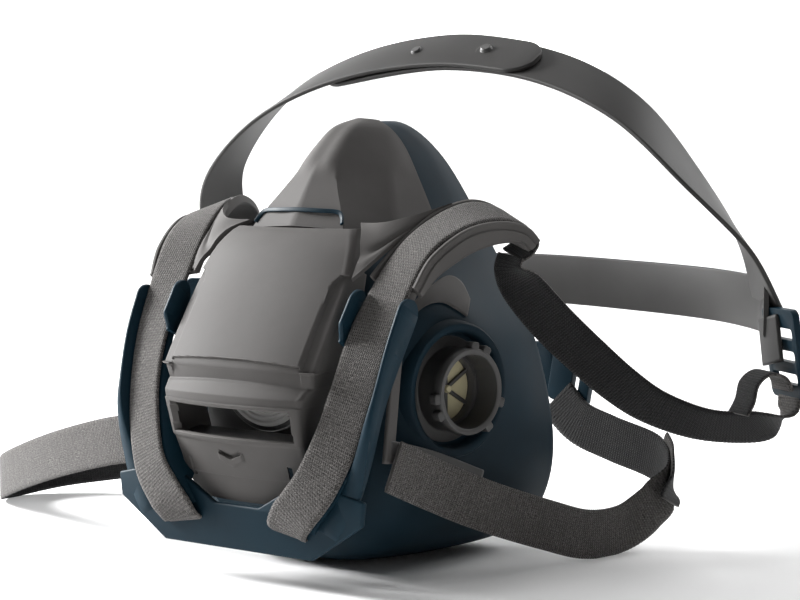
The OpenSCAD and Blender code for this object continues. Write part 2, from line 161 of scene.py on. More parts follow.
def webbing(name, dark, mid, light):
    """Heather elastic webbing on a UV in millimetres: U across, V along."""
    mat, tree, shader = new_material(name, 0.88, 0.12, 0.2)
    uv = tree.nodes.new("ShaderNodeUVMap").outputs["UV"]
    axes = tree.nodes.new("ShaderNodeSeparateXYZ")
    tree.links.new(uv, axes.inputs["Vector"])

    def wave(source, pitch):
        scaled = node(tree, "ShaderNodeMath")
        scaled.operation = "MULTIPLY"
        scaled.inputs[1].default_value = 2 * math.pi / pitch
        tree.links.new(source, scaled.inputs[0])
        sine = tree.nodes.new("ShaderNodeMath")
        sine.operation = "SINE"
        tree.links.new(scaled.outputs[0], sine.inputs[0])
        return sine.outputs[0]

    def combine(a, b, how):
        made = tree.nodes.new("ShaderNodeMath")
        made.operation = how
        tree.links.new(a, made.inputs[0])
        if isinstance(b, float):
            made.inputs[1].default_value = b
        else:
            tree.links.new(b, made.inputs[1])
        return made.outputs[0]

    warp = wave(axes.outputs["X"], 0.9)
    weft = wave(axes.outputs["Y"], 1.15)
    weave = combine(combine(warp, weft, "MULTIPLY"), combine(weft, 0.6, "MULTIPLY"), "ADD")
    fibre = node(tree, "ShaderNodeTexNoise", Scale=1.0, Detail=3.0, Roughness=0.7)
    stretch = tree.nodes.new("ShaderNodeMapping")
    stretch.inputs["Scale"].default_value = (1.6, 0.75, 1.0)
    tree.links.new(uv, stretch.inputs["Vector"])
    tree.links.new(stretch.outputs["Vector"], fibre.inputs["Vector"])
    patch = node(tree, "ShaderNodeTexNoise", Scale=0.12, Detail=3.0, Roughness=0.6)
    tree.links.new(uv, patch.inputs["Vector"])
    speck = ramp(tree, fibre.outputs["Fac"], 0.35, 0.66)
    base = mixed_colour(tree, shader, speck, dark, light)
    tint = tree.nodes.new("ShaderNodeMix")
    tint.data_type = "RGBA"
    tint.inputs["B"].default_value = (*mid, 1)
    tree.links.new(ramp(tree, patch.outputs["Fac"], 0.25, 0.9), tint.inputs["Factor"])
    tree.links.new(base.outputs["Result"], tint.inputs["A"])
    shade = tree.nodes.new("ShaderNodeMix")
    shade.data_type = "RGBA"
    shade.blend_type = "MULTIPLY"
    shade.inputs["Factor"].default_value = 0.75
    tree.links.new(tint.outputs["Result"], shade.inputs["A"])
    tree.links.new(ramp(tree, weave, -1.6, 0.9), shade.inputs["B"])
    tree.links.new(shade.outputs["Result"], shader.inputs["Base Color"])
    height = combine(weave, combine(fibre.outputs["Fac"], 1.2, "MULTIPLY"), "ADD")
    bump_from(tree, shader, height, 0.7, 0.00022)
    return mat


SILICONE = moulded("silicone_teal", (0.004, 0.013, 0.021), (0.006, 0.02, 0.031), 0.62, 900.0, 0.00002,
                   specular=0.14)
TEAL = moulded("plastic_teal", (0.0035, 0.0135, 0.022), (0.005, 0.019, 0.03), 0.5, 1200.0, 0.00002,
               specular=0.12, scuff=0.4)
GREY = moulded("plastic_grey", (0.06, 0.057, 0.055), (0.074, 0.07, 0.068), 0.68, 1700.0, 0.00004,
               specular=0.18, scuff=0.35)
CRADLE = moulded("plastic_cradle", (0.024, 0.023, 0.0225), (0.031, 0.03, 0.029), 0.5, 1500.0, 0.00003,
                 specular=0.25, scuff=0.3)
DARK = moulded("plastic_charcoal", (0.035, 0.034, 0.034), (0.05, 0.049, 0.048), 0.45, 1500.0, 0.00003,
               specular=0.4, scuff=0.6)
BLACK = moulded("plastic_black", (0.006, 0.006, 0.007), (0.01, 0.01, 0.011), 0.5)
CREAM = moulded("valve_cream", (0.4, 0.36, 0.22), (0.55, 0.5, 0.32), 0.5, 600.0)
WHITE = moulded("valve_white", (0.36, 0.35, 0.34), (0.45, 0.44, 0.43), 0.5, 600.0)
WEAVE = webbing("webbing_face", (0.02, 0.018, 0.017), (0.075, 0.07, 0.067), (0.2, 0.188, 0.18))
REVERSE = webbing("webbing_reverse", (0.008, 0.008, 0.009), (0.017, 0.017, 0.018), (0.035, 0.034, 0.034))


# ------------------------------------------------------------------ mesh tools
def add_object(name, mesh, materials, body, smooth=True):
    obj = bpy.data.objects.new(name, mesh)
    bpy.context.scene.collection.objects.link(obj)
    for mat in materials:
        mesh.materials.append(mat)
    if smooth:
        mesh.polygons.foreach_set("use_smooth", [True] * len(mesh.polygons))
    if body:
        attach(obj, body)
    return obj


def apply_modifiers(obj):
    bpy.context.view_layer.update()
    graph = bpy.context.evaluated_depsgraph_get()
    mesh = bpy.data.meshes.new_from_object(obj.evaluated_get(graph))
    obj.modifiers.clear()
    obj.data = mesh


def sharpen(obj, angle=35.0):
    """Split shading at edges sharper than the angle."""
    mesh = obj.data
    bm = bmesh.new()
    bm.from_mesh(mesh)
    for edge in bm.edges:
        edge.smooth = not (len(edge.link_faces) == 2 and edge.calc_face_angle(0) > math.radians(angle))
    bm.to_mesh(mesh)
    bm.free()


def tidy_mesh(bm):
    bmesh.ops.remove_doubles(bm, verts=bm.verts, dist=0.000005)
    bmesh.ops.recalc_face_normals(bm, faces=bm.faces)


def grid_mesh(name, grid, holes=None, thickness=0.0, inward=None):
    """A mesh over rows of points in mm; with a thickness it becomes a closed shell."""
    bm = bmesh.new()
    rows = len(grid)
    cols = len(grid[0])
    front = [[bm.verts.new(world(p)) for p in row] for row in grid]
    kept = set()
    for i in range(rows - 1):
        for k in range(cols - 1):
            if holes and holes(grid[i][k], grid[i + 1][k + 1]):
                continue
            kept.add((i, k))
            bm.faces.new((front[i][k], front[i][k + 1], front[i + 1][k + 1], front[i + 1][k]))
    if thickness:
        bm.normal_update()
        back = {}
        for row, points in zip(front, grid):
            for vert, p in zip(row, points):
                step = inward(p, vert.normal) if inward else -vert.normal * thickness * MM
                back[vert] = bm.verts.new(vert.co + step)
        for i, k in kept:
            ring = (front[i][k], front[i][k + 1], front[i + 1][k + 1], front[i + 1][k])
            bm.faces.new([back[v] for v in reversed(ring)])
        edges = [e for e in bm.edges if len(e.link_faces) == 1 and all(v in back for v in e.verts)]
        for edge in edges:
            a, b = edge.verts
            bm.faces.new((a, b, back[b], back[a]))
    loose = [v for v in bm.verts if not v.link_faces]
    bmesh.ops.delete(bm, geom=loose, context="VERTS")
    tidy_mesh(bm)
    mesh = bpy.data.meshes.new(name)
    bm.to_mesh(mesh)
    bm.free()
    return mesh


def spline(points, n):
    """Catmull-Rom through rows of numbers, n steps from each to the next."""
    out = []
    last = len(points) - 1
    for i in range(last):
        a, b = points[max(i - 1, 0)], points[i]
        c, d = points[i + 1], points[min(i + 2, last)]
        for k in range(n):
            t = k / n
            out.append([0.5 * (2 * q + (r - p) * t + (2 * p - 5 * q + 4 * r - s) * t * t
                               + (3 * q - p - 3 * r + s) * t ** 3) for p, q, r, s in zip(a, b, c, d)])
    out.append(list(points[last]))
    return out


def closed_spline(points, n):
    wrapped = [points[-1]] + list(points) + [points[0], points[1]]
    return spline(wrapped, n)[n:-n - 1 + 0][:len(points) * n]


def along(rows, step):
    """Even steps, in mm, along a smoothed band of (centre, width direction) rows."""
    fine = spline(rows, 24)
    dist = [0.0]
    for a, b in zip(fine, fine[1:]):
        dist.append(dist[-1] + math.dist(a[:3], b[:3]))
    count = max(2, round(dist[-1] / step))
    out = []
    k = 0
    for i in range(count + 1):
        d = dist[-1] * i / count
        while k < len(dist) - 2 and dist[k + 1] < d:
            k += 1
        t = (d - dist[k]) / (dist[k + 1] - dist[k] or 1)
        out.append([lerp(a, b, t) for a, b in zip(fine[k], fine[k + 1])])
    return out, dist[-1]


def frames_on(rows):
    """Centre, tangent, width direction and inward direction on each row."""
    out = []
    last = len(rows) - 1
    for i, row in enumerate(rows):
        t = (Vector(rows[min(i + 1, last)][:3]) - Vector(rows[max(i - 1, 0)][:3])).normalized()
        d = t.cross(Vector(row[3:6])).normalized()
        out.append((Vector(row[:3]), t, d.cross(t).normalized(), d))
    return out


def mirrored(rows):
    """The rows on the other side; the width turns about, so that inward stays inward."""
    return [[-r[0], r[1], r[2], r[3], -r[4], -r[5]] for r in rows]


def on_side(sign, rows):
    return rows if sign > 0 else mirrored(rows)


def sides():
    return (("left", 1), ("right", -1))


def strap(name, rows, width, body, face_out=True, thick=STRAP_T, step=0.7, ribs=0.09,
          seams=()):
    """A woven strap with rounded, ribbed edges, a face and a darker reverse."""
    points, length = along(rows, step)
    cols = 14
    half = width / 2
    bm = bmesh.new()
    uv = bm.loops.layers.uv.new("UVMap")
    rings = []
    places = []
    run = 0.0
    previous = None
    for c, t, w, d in frames_on(points):
        run += 0 if previous is None else (c - previous).length
        previous = c
        rib = ribs * math.sin(2 * math.pi * run / 1.4)
        profile = []
        for k in range(cols + 1):
            u = -1 + 2 * k / cols
            round_off = 1 - 0.55 * max(0.0, (abs(u) - 0.86) / 0.14) ** 2
            profile.append((u * (half + rib), -thick / 2 * round_off - rib * 0.5))
        for k in range(cols, -1, -1):
            u = -1 + 2 * k / cols
            round_off = 1 - 0.55 * max(0.0, (abs(u) - 0.86) / 0.14) ** 2
            profile.append((u * (half + rib), thick / 2 * round_off + rib * 0.3))
        rings.append([bm.verts.new(world(c + w * a + d * b)) for a, b in profile])
        places.append([(a, run) for a, b in profile])
    count = len(rings[0])
    for i in range(len(rings) - 1):
        for k in range(count):
            j = (k + 1) % count
            face = bm.faces.new((rings[i][k], rings[i][j], rings[i + 1][j], rings[i + 1][k]))
            face.material_index = 0 if k <= cols else 1
            for loop, (row, col) in zip(face.loops, ((i, k), (i, j), (i + 1, j), (i + 1, k))):
                loop[uv].uv = places[row][col]
    for ring in (rings[0], rings[-1]):
        face = bm.faces.new(ring)
        face.material_index = 0
    bmesh.ops.recalc_face_normals(bm, faces=bm.faces)
    mesh = bpy.data.meshes.new(name)
    bm.to_mesh(mesh)
    bm.free()
    mats = (WEAVE, REVERSE) if face_out else (REVERSE, WEAVE)
    obj = add_object(name, mesh, mats, body)
    return obj, length


def lathe(name, profile, place, mats, body, segments=96):
    """A ring or disc turned about a matrix's Z; the profile is (radius, height) in mm."""
    bm = bmesh.new()
    rings = []
    for k in range(segments):
        a = 2 * math.pi * k / segments
        rings.append([bm.verts.new(place @ Vector((r * math.cos(a), r * math.sin(a), h)) * 1.0)
                      for r, h in profile])
    for k in range(segments):
        j = (k + 1) % segments
        for i in range(len(profile) - 1):
            bm.faces.new((rings[k][i], rings[j][i], rings[j][i + 1], rings[k][i + 1]))
    bmesh.ops.remove_doubles(bm, verts=bm.verts, dist=0.00001)
    bmesh.ops.recalc_face_normals(bm, faces=bm.faces)
    mesh = bpy.data.meshes.new(name)
    bm.to_mesh(mesh)
    bm.free()
    obj = add_object(name, mesh, mats, body)
    sharpen(obj, 40)
    return obj


def mm_matrix(origin, turn=Matrix.Identity(4)):
    """A matrix that takes local millimetres to the frame."""
    return Matrix.Translation(world(origin)) @ turn @ Matrix.Scale(MM, 4)


def port_matrix(sign):
    turn = Matrix.Rotation(-PORT_TURN, 4, "Z") @ Matrix.Rotation(math.pi / 2, 4, "Y")
    base = mm_matrix(PORT, turn)
    return base if sign > 0 else Matrix.Scale(-1, 4, (1, 0, 0)) @ base


def block(name, outline, depth, place, mats, body, bevel=0.4, holes=()):
    """A plate: an outline in mm extruded along local Z, holes cut, edges rounded."""
    bm = bmesh.new()
    edges = []
    for ring in (outline, *holes):
        verts = [bm.verts.new((x, y, 0)) for x, y in ring]
        edges += [bm.edges.new((verts[i], verts[(i + 1) % len(verts)])) for i in range(len(verts))]
    bmesh.ops.triangle_fill(bm, use_beauty=True, use_dissolve=True, edges=edges)
    faces = list(bm.faces)
    result = bmesh.ops.extrude_face_region(bm, geom=faces)
    for vert in [v for v in result["geom"] if isinstance(v, bmesh.types.BMVert)]:
        vert.co.z += depth
    bmesh.ops.recalc_face_normals(bm, faces=bm.faces)
    bmesh.ops.transform(bm, matrix=place, verts=bm.verts)
    if place.determinant() < 0:
        bmesh.ops.reverse_faces(bm, faces=bm.faces)
    mesh = bpy.data.meshes.new(name)
    bm.to_mesh(mesh)
    bm.free()
    obj = add_object(name, mesh, mats, body, smooth=False)
    if bevel:
        mod = obj.modifiers.new("bevel", "BEVEL")
        mod.width = bevel * MM
        mod.segments = 3
        mod.limit_method = "ANGLE"
        mod.angle_limit = math.radians(30)
        apply_modifiers(obj)
        obj.data.polygons.foreach_set("use_smooth", [True] * len(obj.data.polygons))
        sharpen(obj, 38)
    return obj


def round_rect(w, h, r, steps=5, cx=0.0, cy=0.0):
    out = []
    for qx, qy, start in ((1, 1, 0), (-1, 1, 90), (-1, -1, 180), (1, -1, 270)):
        for k in range(steps + 1):
            a = math.radians(start + 90 * k / steps)
            out.append((cx + qx * (w / 2 - r) + r * math.cos(a), cy + qy * (h / 2 - r) + r * math.sin(a)))
    return out


def section_band(name, rows, profile_at, mats, body, step=1.2, caps=True):
    """A closed section swept along a band; profile_at(t) gives (across, inward) in mm."""
    points, length = along(rows, step)
    bm = bmesh.new()
    rings = []
    total = len(points) - 1
    for i, (c, t, w, d) in enumerate(frames_on(points)):
        rings.append([bm.verts.new(world(c + w * a + d * b)) for a, b in profile_at(i / total)])
    count = len(rings[0])
    for i in range(total):
        for k in range(count):
            j = (k + 1) % count
            bm.faces.new((rings[i][k], rings[i][j], rings[i + 1][j], rings[i + 1][k]))
    if caps:
        bm.faces.new(rings[0])
        bm.faces.new(rings[-1])
    bmesh.ops.recalc_face_normals(bm, faces=bm.faces)
    mesh = bpy.data.meshes.new(name)
    bm.to_mesh(mesh)
    bm.free()
    obj = add_object(name, mesh, mats, body)
    return obj


def rounded_section(width, thick, r=0.6, steps=3):
    """A rectangle with rounded corners, as (across, inward)."""
    return [(x, y) for x, y in round_rect(width, thick, min(r, thick / 2 - 0.01), steps)]


# ------------------------------------------------------------------ facepiece
FRONT_RING = [[0, -34, 112], [13, -35, 110], [27, -38, 102], [39, -42, 84], [43, -44, 50],
              [38, -43, 16], [22, -40, 0], [0, -38, -5]]
CHEEK_RING = [[0, -16, 138], [14, -19, 124], [35, -25, 106], [53, -30, 82], [57.5, -32, 46],
              [51, -31, 12], [30, -28, -6], [0, -26, -10.5]]
PORT_RING = [[0, 3, 157.5], [18.5, 2, 145], [40, 0, 107], [59, -6, 80], [62, -8, 42],
             [56, -4, 8], [33, -2, -9], [0, 0, -12]]
JAW_RING = [[0, 16, 161], [22, 20, 148], [42, 26, 107], [60, 24, 75], [65.5, 25, 36],
            [59, 24, 5], [38, 24, -9], [0, 24, -12]]
RIM_RING = [[0, 27, 161.5], [21, 33, 147], [41, 45, 105], [57, 47, 73], [64, 50, 32],
            [58, 48, 5], [40, 42, -8], [0, 37, -11.5]]


def whole(half, n):
    flipped = [[-p[0], p[1], p[2]] for p in half[-2:0:-1]]
    return closed_spline(half + flipped, n)


def inset(ring, d, back=0.0):
    cx = sum(p[0] for p in ring) / len(ring)
    cz = sum(p[2] for p in ring) / len(ring)
    out = []
    for x, y, z in ring:
        v = Vector((cx - x, 0, cz - z))
        v = v * min(1, d / v.length)
        out.append([x + v.x, y + back, z + v.z])
    return out


def make_facepiece():
    n = 10
    wall, lip = 3.0, 9.0
    outer = [whole(r, n) for r in (FRONT_RING, CHEEK_RING, PORT_RING, JAW_RING, RIM_RING)]
    stations = []
    for group in spline([[v for p in ring for v in p] for ring in outer], 8):
        stations.append([group[i:i + 3] for i in range(0, len(group), 3)])
    rim = outer[-1]
    # the lip rolls over the rim and turns in towards the face
    for d, back in ((0.5, 0.9), (1.4, 1.6), (2.6, 2.0), (5.0, 2.1), (7.4, 1.6), (8.6, 0.8), (9.0, 0.0),
                    (8.6, -0.8), (7.4, -1.2), (5.2, -1.2), (4.0, -2.4)):
        stations.append(inset(rim, d, back))
    for ring, d, back in ((outer[3], wall, 2), (outer[2], wall, 0), (outer[1], wall, 2),
                          (outer[0], wall + 2, wall)):
        stations.append(inset(ring, d, back))
    bm = bmesh.new()
    rings = [[bm.verts.new(world(p)) for p in ring] for ring in stations]
    count = len(rings[0])
    for i in range(len(rings) - 1):
        for k in range(count):
            j = (k + 1) % count
            bm.faces.new((rings[i][k], rings[i][j], rings[i + 1][j], rings[i + 1][k]))
    for ring in (rings[0], rings[-1]):
        bm.faces.new(ring)
    bmesh.ops.recalc_face_normals(bm, faces=bm.faces)
    mesh = bpy.data.meshes.new("facepiece_skin")
    bm.to_mesh(mesh)
    bm.free()
    obj = add_object("facepiece_skin", mesh, (SILICONE,), "root")
    cutters = []
    for _, sign in sides():
        cutters.append((port_matrix(sign), 23.5, -14, 14))
    front = mm_matrix((0, -52, VALVE_Z), Matrix.Rotation(math.pi / 2, 4, "X"))
    cutters.append((front, 15.0, -30, 10))
    for place, radius, low, high in cutters:
        cut = bpy.data.meshes.new("cutter")
        cb = bmesh.new()
        bmesh.ops.create_cone(cb, cap_ends=True, segments=96, radius1=radius, radius2=radius,
                              depth=high - low)
        bmesh.ops.translate(cb, vec=(0, 0, (high + low) / 2), verts=cb.verts)
        bmesh.ops.transform(cb, matrix=place, verts=cb.verts)
        bmesh.ops.recalc_face_normals(cb, faces=cb.faces)
        cb.to_mesh(cut)
        cb.free()
        tool = bpy.data.objects.new("cutter", cut)
        bpy.context.scene.collection.objects.link(tool)
        mod = obj.modifiers.new("cut", "BOOLEAN")
        mod.operation = "DIFFERENCE"
        mod.solver = "EXACT"
        mod.object = tool
        apply_modifiers(obj)
        bpy.data.objects.remove(tool)
    obj.data.polygons.foreach_set("use_smooth", [True] * len(obj.data.polygons))
    sharpen(obj, 40)
    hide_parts("facepiece")
    for name, sign in sides():
        lathe("port_well_" + name,
              [(27.5, -9), (26.6, -3), (26.0, 0.2), (25.2, 1.2), (23.9, 1.4), (22.7, 0.9), (22.2, 0.0),
               (21.8, -4.6), (21.0, -5.4), (17.5, -5.6), (17.0, -6.4), (17.0, -8.5), (27.5, -9)],
              port_matrix(sign), (SILICONE,), "root")


# ------------------------------------------------------------------ ports
def make_ports():
    for name, sign in sides():
        place = port_matrix(sign)
        body = lathe("port_" + name,
                     [(12.6, -7), (20, -7), (20.4, -6.6), (20.4, -5.4), (20, -5.1), (16.6, -5.1), (16, -4.6),
                      (16, 3.2), (16.5, 3.8), (16.5, 7.4), (16.1, 8.0), (14.6, 8.0), (14.1, 7.6), (14, -3),
                      (12.8, -3), (12.6, -3.3), (12.6, -7)],
                     place, (DARK,), "root", 128)
        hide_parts("bayonet_" + name)
        for k, angle in enumerate((35, 72, 150, 172, 275, 297)):
            spin = Matrix.Rotation(math.radians(angle), 4, "Z")
            outline = [(15.8, -1.9), (18.4, -1.9), (18.9, -1.2), (18.9, 1.2), (18.4, 1.9), (15.8, 1.9)]
            block("port_lug_%s_%d" % (name, k), outline, 3.6,
                  place @ spin @ Matrix.Translation((0, 0, 4.1)), (DARK,), "root", 0.3)
        for k in range(3):
            spin = Matrix.Rotation(math.radians(60 * k), 4, "Z")
            block("port_spider_%s_%d" % (name, k), [(-12.9, -0.7), (12.9, -0.7), (12.9, 0.7), (-12.9, 0.7)],
                  1.4, place @ spin @ Matrix.Translation((0, 0, -7)), (DARK,), "root", 0.2)
        flap = lathe("inhalation_flap_" + name,
                     [(0, -4.2), (1.2, -4.2), (1.5, -4.6), (1.5, -7.1), (14.4, -7.1), (14.8, -7.4),
                      (14.6, -8.0), (0, -8.0)], place, (CREAM,), "root")
        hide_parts("inhalation_valve_" + name)


# ------------------------------------------------------------------ exhalation valve and cover
def make_exhalation():
    turn = Matrix.Rotation(math.pi / 2, 4, "X")
    place = mm_matrix((0, -52, VALVE_Z), turn)
    seat = lathe("valve_seat", [(15, -5), (19.8, -5), (19.8, 0.2), (23, 0.2), (23.3, 0.6), (23.3, 2.2),
                                (22.9, 2.6), (20, 2.6), (18, 2.2), (15, 1), (15, -5)],
                 place, (DARK,), "root")
    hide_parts("exhalation_valve_seat")
    profile = [(0, 4.6), (2, 4.5), (2.6, 3.8)]
    r = 3.0
    while r < 20.5:
        profile += [(r, 3.7), (r + 0.5, 4.15), (r + 1.0, 4.15), (r + 1.5, 3.7)]
        r += 2.0
    profile += [(21.0, 3.5), (21.2, 3.1), (21.0, 2.8), (0, 2.8)]
    flap = lathe("valve_flap", profile, place, (WHITE,), "root", 128)
    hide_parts("exhalation_valve_flap")
    housing = block("valve_housing_frame", round_rect(64, 76, 6, 6, 0, 67), 5.5,
                    mm_matrix((0, -46.3, 0), turn), (DARK,), "root", 0.6,
                    holes=([(20 * math.cos(a * math.pi / 24), VALVE_Z + 20 * math.sin(a * math.pi / 24))
                            for a in range(48)],))
    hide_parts("valve_housing")


# height, half width, front at the side, front in the middle, depth of the side walls
COVER_ROWS = [[120.0, 28.6, -37.6, -40.6, 7], [117.5, 31.0, -40.6, -44.0, 8],
              [112, 34.0, -45.2, -49.4, 10], [104, 36.2, -50.6, -55.2, 12],
              [94, 37.2, -57.2, -62.0, 15], [84, 37.4, -63.8, -68.8, 16],
              [74, 37.4, -70.2, -75.2, 17], [70, 37.4, -72.6, -77.8, 18], [68.6, 37.3, -73.2, -78.4, 18],
              [68.2, 36.3, -73.3, -78.6, 18], [64, 35.4, -74.6, -79.6, 18], [59, 33.9, -75.6, -80.3, 18],
              [55, 32.9, -75.8, -80.4, 18], [50, 32.3, -74.8, -79.6, 18], [42, 31.9, -72.6, -77.8, 18],
              [33, 31.3, -69.0, -73.6, 16], [26, 30.6, -66.8, -70.4, 14], [20, 27.6, -65.2, -68.8, 12],
              [17.6, 26.4, -65.0, -68.4, 10]]
OPENING = (43.2, 54.6, 29.0)
PANEL_HALF = 31.4


def cover_relief(x, z):
    """How far the cover's front stands back from its smooth form, in mm."""
    back = 0.0
    if z > 69:
        edge = PANEL_HALF + 6.5 * smoothstep(99, 110, z)
        back += 1.6 * smoothstep(edge - 0.35, edge + 0.35, abs(x)) * smoothstep(118, 112, z)
    share = min(1.0, abs(x) / PANEL_HALF)
    brow = lerp(72.8, 71.2, share ** 2) - 2.8 * smoothstep(PANEL_HALF - 0.3, PANEL_HALF + 0.3, abs(x))
    hood = lerp(64.8, 63.2, share ** 2)
    if z < brow:
        under = min(1.0, (brow - z) / (brow - hood))
        back += 0.9 * smoothstep(0, 0.5, brow - z) + 2.6 * under
        back -= 3.5 * smoothstep(hood, hood - 1.2, z) * 0.25
        back -= (2.6 + 0.9 * 0.75 - 0.2) * smoothstep(0, 1, (hood - z) / (hood - 57.5)) if z < hood else 0
        back = max(back, 0.0)
    low, high, half = OPENING
    out = max(low - z, z - high, abs(x) - half)
    if 0 < out < 2.4 and z < high + 1.5:
        back -= 0.7 * (1 - smoothstep(1.6, 2.4, out))
    if abs(x) < 6.6 and 29 < z < 41:
        arm = abs(z - 33.2 - 0.42 * abs(x))
        back -= 0.9 * (1 - smoothstep(1.3, 1.8, arm)) * (1 - smoothstep(5.6, 6.2, abs(x)))
        back += 1.1 * (1 - smoothstep(0.5, 0.9, abs(z - 35.6 - 0.35 * abs(x)))) * (abs(x) < 5.0)
    if z < 27.4:
        back += 0.5
    return back


def make_cover():
    step = 0.45
    rows = spline(COVER_ROWS, 10)
    fine = []
    for a, b in zip(rows, rows[1:]):
        parts = max(1, math.ceil(abs(a[0] - b[0]) / step))
        fine += [[lerp(p, q, k / parts) for p, q in zip(a, b)] for k in range(parts)]
    fine.append(rows[-1])
    cols = 60
    corner = 2.6
    grid = []
    for z, hw, y_side, y_mid, deep in fine:
        row = []
        for k in range(-cols, cols + 1):
            s = k / cols
            x = s * (hw - corner)
            y = lerp(y_mid, y_side, abs(s) ** 2.2) + cover_relief(x, z)
            row.append([x, y, z])
        end = row[-1]
        right = []
        for k in range(1, 6):
            a = math.radians(90 * k / 5)
            right.append([end[0] + corner * math.sin(a), end[1] + corner * (1 - math.cos(a)), z])
        base = right[-1]
        for k in range(1, 7):
            right.append([base[0] - 0.10 * k * deep / 6, base[1] + (deep - corner) * k / 6, z])
        left = [[-p[0], p[1], p[2]] for p in reversed(right)]
        grid.append(left + row + right)
    open_low, open_high, open_half = OPENING

    def gap(a, b):
        x = (a[0] + b[0]) / 2
        z = (a[2] + b[2]) / 2
        front = a[1] < -66
        slot = abs(abs(x) - 24.4 - 0.03 * (z - 29)) < 0.95 and 25.6 < z < 33.6
        return front and ((abs(x) < open_half and open_low < z < open_high) or slot)

    def back(p, normal):
        return Vector((-0.05 * p[0], 2.0, 0)) * MM

    mesh = grid_mesh("cover_shell", grid, gap, 2.0, back)
    shell = add_object("cover_shell", mesh, (GREY,), "root")
    sharpen(shell, 42)
    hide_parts("valve_cover")
    # the chute behind the opening: a curved floor
    floor_rows = []
    for k in range(9):
        t = k / 8
        z = 42.4 + 1.4 * t
        floor_rows.append([[x, lerp(lerp(-76.6, -71.4, abs(x / 28) ** 2.2), -60.5, t), z]
                           for x in range(-28, 29, 2)])
    mesh = grid_mesh("cover_chute", floor_rows, None, 1.2)
    chute = add_object("cover_chute", mesh, (DARK,), "root")
    sharpen(chute)


# ------------------------------------------------------------------ nose shell and yoke
# rows from the lower edge to the crown: rear, side, ridge and middle points
NOSE_ROWS = [
    [[38, 7, 117], [33.5, -14, 118], [22.4, -35.4, 119.6], [0, -39.0, 120.8]],
    [[35.7, 7.5, 121.2], [31.5, -12.8, 122.4], [20.4, -33, 123.6], [0, -36.6, 124.6]],
    [[33.5, 8, 125.5], [29.5, -11.5, 126.5], [18, -31, 127.5], [0, -34.2, 128.4]],
    [[27.5, 8.5, 137], [24, -6, 139], [10.4, -23.6, 140], [0, -25.6, 140.6]],
    [[20.5, 8.5, 150], [18.4, 0, 150.5], [7.6, -14.2, 151], [0, -15.6, 151.4]],
    [[14, 8.5, 157.4], [12, 3.4, 158], [5.6, -5, 158.8], [0, -5.8, 159]],
    [[6.4, 9.5, 161.6], [5, 7.6, 162], [2.6, 5.6, 162.3], [0, 5, 162.5]]]
# the facet's ridges fade into the dome between these heights
DOME = (139.0, 147.0)


def make_nose():
    rows = []
    flat = [[v for p in row for v in p] for row in NOSE_ROWS]
    grid = []
    for group in spline(flat, 9):
        rear, flank, ridge, mid = (group[i:i + 3] for i in range(0, 12, 3))
        facet = []
        for k in range(8):
            facet.append([lerp(a, b, k / 8) for a, b in zip(rear, flank)])
        for k in range(9):
            facet.append([lerp(a, b, k / 9) for a, b in zip(flank, ridge)])
        for k in range(12):
            facet.append([lerp(a, b, k / 11) for a, b in zip(ridge, mid)])
        # the same count of points on a smooth curve over the dome
        opposite = [[-p[0], p[1], p[2]] for p in (ridge, flank)]
        dome = spline([rear, flank, ridge, mid] + opposite, 40)[:121]
        picks = [k * 40 / 8 for k in range(8)] + [40 + k * 40 / 9 for k in range(9)]
        picks += [80 + k * 40 / 11 for k in range(12)]
        share = smoothstep(*DOME, mid[2])
        half = []
        for p, pick in zip(facet, picks):
            half.append([lerp(a, b, share) for a, b in zip(p, dome[min(120, round(pick))])])
        grid.append(half + [[-p[0], p[1], p[2]] for p in half[-2::-1]])

    def back(p, normal):
        return Vector((-0.05 * p[0], 1.6, -1.0)) * MM

    mesh = grid_mesh("nose_shell_skin", grid, None, 1.8, back)
    obj = add_object("nose_shell_skin", mesh, (GREY,), "root")
    sharpen(obj, 32)
    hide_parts("nose_shell")
    # the coloured inlay line across the front facet, turned down at both ends
    line = [[21.3, -34.6, 121.6], [20.0, -33.0, 124.6], [17.5, -32.6, 126.2], [9, -34.6, 126.7],
            [0, -35.4, 126.9]]
    path = [p + [0.0, 0.35, 0.94] for p in line]
    path += [[-p[0], p[1], p[2], 0.0, 0.35, 0.94] for p in line[-2::-1]]
    inlay = section_band("nose_inlay", path, lambda t: rounded_section(1.7, 0.9, 0.3), (TEAL,),
                         "root", 0.8)
    return inlay


ARM_ROWS = [[54.2, -47, 101.5, 1, 0, -0.03], [57, -38, 112, 0.96, -0.22, -0.1],
            [62, -22, 122.5, 0.9, -0.33, -0.25], [67, -6, 126.5, 0.86, -0.36, -0.36],
            [71, 7, 124, 0.85, -0.4, -0.3], [73, 14, 117.5, 0.85, -0.45, -0.2]]
SHOULDER_ROWS = [
    [[27.5, -31, 122.3], [33.4, -38.5, 118.4], [37.6, -46, 110], [38.8, -51.5, 102.5]],
    [[39.1, -31, 122.8], [41.2, -36.5, 117.6], [41.6, -42.5, 112], [42.2, -47, 107]],
    [[49, -22.5, 126], [47.9, -27, 122.6], [47, -32, 118.6], [46.2, -37, 114.6]],
    [[55.5, -10.5, 129.8], [54.2, -13, 128.9], [52.8, -15.6, 127.6], [51.4, -18.2, 126]]]
RAIL_ROWS = [[58.5, -55.6, 36, 0, 1, 0.1], [58.6, -53.6, 52, 0, 1, 0.15], [59, -51, 74, 0, 1, 0.2],
             [59.2, -47.6, 88, 0, 1, 0.35], [60, -41, 99, 0, 1, 0.6], [63.6, -32, 108, 0, 1, 0.8]]
HANGER_ROWS = [[58.4, -56, 42, 0, 0, 1], [62, -32, 35, 0, 0, 1], [66, -6, 25, 0, 0, 1]]


